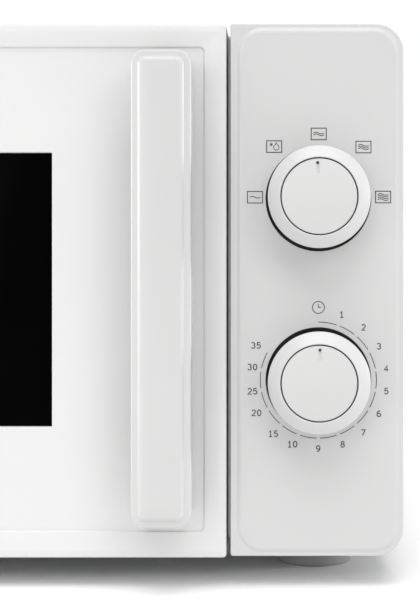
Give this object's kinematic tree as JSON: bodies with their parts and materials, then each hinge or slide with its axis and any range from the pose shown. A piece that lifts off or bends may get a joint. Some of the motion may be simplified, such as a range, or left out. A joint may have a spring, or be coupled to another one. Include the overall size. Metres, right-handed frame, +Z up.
{
  "type": "microwave oven",
  "caption": "Countertop microwave oven: white case, side-hinged door with dark window and bar handle, two rotary knobs, turntable inside.",
  "frame": {"origin": "middle of the bounding box at table height, under the feet", "axes": "+X to the right seen from the front, the door faces -Y, +Z up"},
  "size_m": [0.44, 0.372, 0.259],
  "materials": {
    "white_plastic": "satin moulded plastic",
    "cap_plastic": "fine matt plastic",
    "cabinet_paint": "fine powder coat",
    "galvanised_steel": "spangled zinc",
    "fastener_steel": "plated",
    "cavity_enamel": "speckled light grey enamel",
    "screen_paint": "matt black paint",
    "window_glass": "black-backed polished glass",
    "clear_glass": "pressed clear glass",
    "lamp_glass": "clear bulb",
    "grey_rubber": "matt",
    "grey_plastic": "matt",
    "ivory_plastic": "heat-resistant matt plastic",
    "white_nylon": "smooth nylon",
    "black_plastic": "matt",
    "red_plastic": "smooth",
    "mica": "pressed mica flakes",
    "laminated_iron": "varnished laminations",
    "copper": "enamelled wire",
    "aluminium": "plain",
    "circuit_board": "solder-masked board",
    "wire_insulation": "soft insulation"
  },
  "bodies": {
    "chassis": {"control_panel": "white_plastic", "outer_cover": "cabinet_paint", "front_plate": "cabinet_paint", "base_plate": "galvanised_steel", "rear_panel": "galvanised_steel", "hinge_bracket_upper": "galvanised_steel", "hinge_bracket_lower": "galvanised_steel", "waveguide": "galvanised_steel", "magnetron_yoke": "galvanised_steel", "magnetron_filter_box": "galvanised_steel", "capacitor_clamp": "galvanised_steel", "control_bracket": "galvanised_steel", "turntable_motor": "galvanised_steel", "timer_housing": "galvanised_steel", "cover_screws": "fastener_steel", "oven_cavity": "cavity_enamel", "lamp_bulb": "lamp_glass", "feet": "grey_rubber", "rear_spacers": "grey_rubber", "cord_inlet": "grey_rubber", "interlock_bracket": "ivory_plastic", "lamp_socket": "ivory_plastic", "door_switches": "black_plastic", "hv_diode": "black_plastic", "thermal_cutout": "black_plastic", "power_switch_housing": "black_plastic", "fan_housing": "black_plastic", "waveguide_cover": "mica", "transformer_core": "laminated_iron", "fan_motor": "laminated_iron", "transformer_windings": "copper", "magnetron_core": "aluminium", "capacitor": "aluminium", "noise_filter_board": "circuit_board", "wiring_loom": "wire_insulation"},
    "door": {"door_frame": "white_plastic", "door_glass": "window_glass", "door_inner_panel": "cavity_enamel", "door_screen": "screen_paint", "door_choke_cover": "grey_plastic", "door_handle": "white_plastic", "handle_screws": "fastener_steel", "latch_spring": "fastener_steel"},
    "latch": {"latch_bar": "ivory_plastic"},
    "switch_plungers": {"switch_plungers": "red_plastic"},
    "power_knob": {"power_shaft": "fastener_steel", "power_knob": "white_plastic", "power_knob_cap": "cap_plastic"},
    "timer_knob": {"timer_shaft": "fastener_steel", "timer_knob": "white_plastic", "timer_knob_cap": "cap_plastic"},
    "turntable": {"turntable_shaft": "ivory_plastic", "turntable_coupler": "ivory_plastic", "glass_tray": "clear_glass"},
    "roller_ring": {"roller_ring": "ivory_plastic"},
    "roller_1": {"roller_1": "white_nylon"},
    "roller_2": {"roller_2": "white_nylon"},
    "roller_3": {"roller_3": "white_nylon"},
    "fan": {"fan_rotor": "fastener_steel", "fan_blade": "white_nylon"}
  },
  "joints": [
    {"name": "door_hinge", "type": "hinge", "parent": "chassis", "child": "door", "pos_m": [-0.2125, -0.137, 0.1364], "axis": [0, 0, -1], "range_deg": [0, 105]},
    {"name": "latch_slide", "type": "slide", "parent": "door", "child": "latch", "axis": [0, 0, 1], "range_m": [0, 0.004], "stiffness_N_per_m": 300, "springref_m": -0.003, "deforming": ["latch_spring"]},
    {"name": "plunger_press", "type": "slide", "parent": "chassis", "child": "switch_plungers", "axis": [0, 0, -1], "range_m": [0, 0.0008], "stiffness_N_per_m": 400, "springref_m": -0.001},
    {"name": "power_knob_turn", "type": "hinge", "parent": "chassis", "child": "power_knob", "pos_m": [0.1809, -0.158, 0.1788], "axis": [0, 1, 0], "range_deg": [-90, 90]},
    {"name": "timer_knob_turn", "type": "hinge", "parent": "chassis", "child": "timer_knob", "pos_m": [0.1809, -0.158, 0.0956], "axis": [0, 1, 0], "range_deg": [0, 300]},
    {"name": "turntable_spin", "type": "hinge", "parent": "chassis", "child": "turntable", "pos_m": [-0.044, 0.0206, 0.04], "axis": [0, 0, 1], "continuous": true},
    {"name": "roller_ring_spin", "type": "hinge", "parent": "chassis", "child": "roller_ring", "pos_m": [-0.044, 0.0206, 0.0416], "axis": [0, 0, 1], "continuous": true},
    {"name": "roller_1_spin", "type": "hinge", "parent": "roller_ring", "child": "roller_1", "pos_m": [-0.044, 0.1266, 0.0416], "axis": [0, 1, 0], "continuous": true},
    {"name": "roller_2_spin", "type": "hinge", "parent": "roller_ring", "child": "roller_2", "pos_m": [-0.1358, -0.0324, 0.0416], "axis": [-0.866, -0.5, 0], "continuous": true},
    {"name": "roller_3_spin", "type": "hinge", "parent": "roller_ring", "child": "roller_3", "pos_m": [0.0478, -0.0324, 0.0416], "axis": [0.866, -0.5, 0], "continuous": true},
    {"name": "fan_spin", "type": "hinge", "parent": "chassis", "child": "fan", "pos_m": [0.165, 0.15, 0.149], "axis": [0, 1, 0], "continuous": true}
  ],
  "couplings": [
    {"joint": "roller_ring_spin", "follows": "turntable_spin", "ratio": 0.5},
    {"joint": "roller_1_spin", "follows": "turntable_spin", "ratio": -7.5714},
    {"joint": "roller_2_spin", "follows": "turntable_spin", "ratio": -7.5714},
    {"joint": "roller_3_spin", "follows": "turntable_spin", "ratio": -7.5714}
  ]
}
